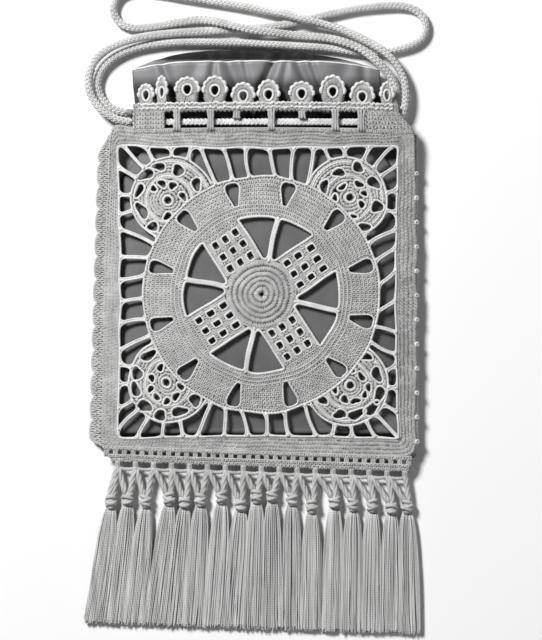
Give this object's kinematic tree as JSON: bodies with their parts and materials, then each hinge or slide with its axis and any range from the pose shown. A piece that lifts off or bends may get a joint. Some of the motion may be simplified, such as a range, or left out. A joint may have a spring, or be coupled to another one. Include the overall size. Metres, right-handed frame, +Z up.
{
  "type": "crochet bag",
  "caption": "Flat crochet drawstring handbag with a lace medallion front, cloth lining, petalled mouth edging, looped cord handles and a knotted fringe.",
  "frame": {"origin": "on the surface the bag lies on, under the middle of the bag's box without its free cord loops", "axes": "+Z up out of the lace front, +Y from the fringe to the mouth, +X to the right as seen from above"},
  "size_m": [0.2062, 0.3873, 0.0202],
  "materials": {
    "crochet": "matt crochet cotton",
    "lining": "smooth woven lining cloth",
    "cord": "round crocheted cord",
    "fringe": "knotted thread fringe"
  },
  "bodies": {
    "root": {"front_panel": "crochet", "back_panel": "crochet", "side_edging_left": "crochet", "side_edging_right": "crochet", "front_edging": "crochet", "back_edging": "crochet", "lining": "lining", "fringe": "fringe", "casing_cord_front": "cord", "casing_cord_back": "cord", "cord_left_loop": "cord", "cord_right_loop": "cord"}
  },
  "joints": []
}
